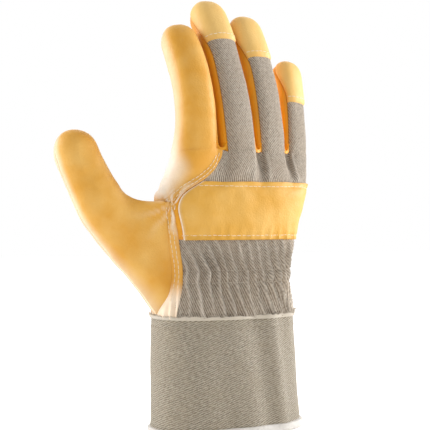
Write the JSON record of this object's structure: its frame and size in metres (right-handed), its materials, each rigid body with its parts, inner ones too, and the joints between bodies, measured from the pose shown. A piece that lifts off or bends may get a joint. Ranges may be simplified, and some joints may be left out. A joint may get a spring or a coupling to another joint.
{
  "type": "leather and canvas gauntlet glove",
  "caption": "Right-hand leather-palm work glove with a stiff canvas gauntlet cuff, a twill back gathered at the wrist, leather fingertips and hinged fingers and thumb.",
  "frame": {"origin": "centre of the bounding box in plan, at the height of the cuff's hem, which the glove stands on", "axes": "+Z from the hem up the fingers, +X across the hand from the thumb to the little finger, +Y out of the palm, so the back of the hand faces -Y"},
  "size_m": [0.1745, 0.0643, 0.2745],
  "materials": {
    "leather": "smooth yellow grain leather with a soft sheen",
    "twill": "grey-beige cotton twill, matt",
    "canvas": "heavy grey-beige canvas, matt",
    "liner": "rubberised cuff liner, matt",
    "binding": "pale grey rubberised hem, matt",
    "lining": "off-white napped cotton, matt",
    "elastic": "white woven elastic, matt"
  },
  "bodies": {
    "hand": {"crotch_tab_index_middle": "leather", "crotch_tab_middle_ring": "leather", "crotch_tab_ring_little": "leather", "cuff_canvas": "canvas", "cuff_hem_binding": "binding", "cuff_liner": "liner", "cuff_seam_band": "canvas", "knuckle_strap": "leather", "lower_back_twill": "twill", "palm_leather": "leather", "palm_lining": "lining", "pulse_patch": "leather", "upper_back_twill": "twill", "wrist_elastic": "elastic"},
    "index": {"index_lining": "lining", "index_outer_side_fourchette": "leather", "index_wrap_leather": "leather"},
    "middle": {"middle_back_twill": "twill", "middle_front_leather": "leather", "middle_lining": "lining", "middle_outer_side_fourchette": "leather", "middle_thumb_side_fourchette": "leather", "middle_tip_cap": "leather"},
    "ring": {"ring_back_twill": "twill", "ring_front_leather": "leather", "ring_lining": "lining", "ring_outer_side_fourchette": "leather", "ring_thumb_side_fourchette": "leather", "ring_tip_cap": "leather"},
    "little": {"little_back_twill": "twill", "little_front_leather": "leather", "little_lining": "lining", "little_thumb_side_fourchette": "leather", "little_tip_cap": "leather"},
    "thumb": {"thumb_back_leather": "leather", "thumb_front_leather": "leather", "thumb_lining": "lining"}
  },
  "joints": [
    {"name": "index_bend", "type": "hinge", "parent": "hand", "child": "index", "pos_m": [0.0009, 0.0079, 0.175], "axis": [-1, 0, 0], "range_deg": [0, 80]},
    {"name": "middle_bend", "type": "hinge", "parent": "hand", "child": "middle", "pos_m": [0.0271, 0.006, 0.175], "axis": [-1, 0, 0], "range_deg": [0, 80]},
    {"name": "ring_bend", "type": "hinge", "parent": "hand", "child": "ring", "pos_m": [0.0519, 0.0121, 0.175], "axis": [-1, 0, 0], "range_deg": [0, 80]},
    {"name": "little_bend", "type": "hinge", "parent": "hand", "child": "little", "pos_m": [0.074, 0.0204, 0.175], "axis": [-1, 0, 0], "range_deg": [0, 80]},
    {"name": "thumb_bend", "type": "hinge", "parent": "hand", "child": "thumb", "pos_m": [-0.0091, 0.0167, 0.11], "axis": [0, 0, -1], "range_deg": [0, 30]}
  ]
}
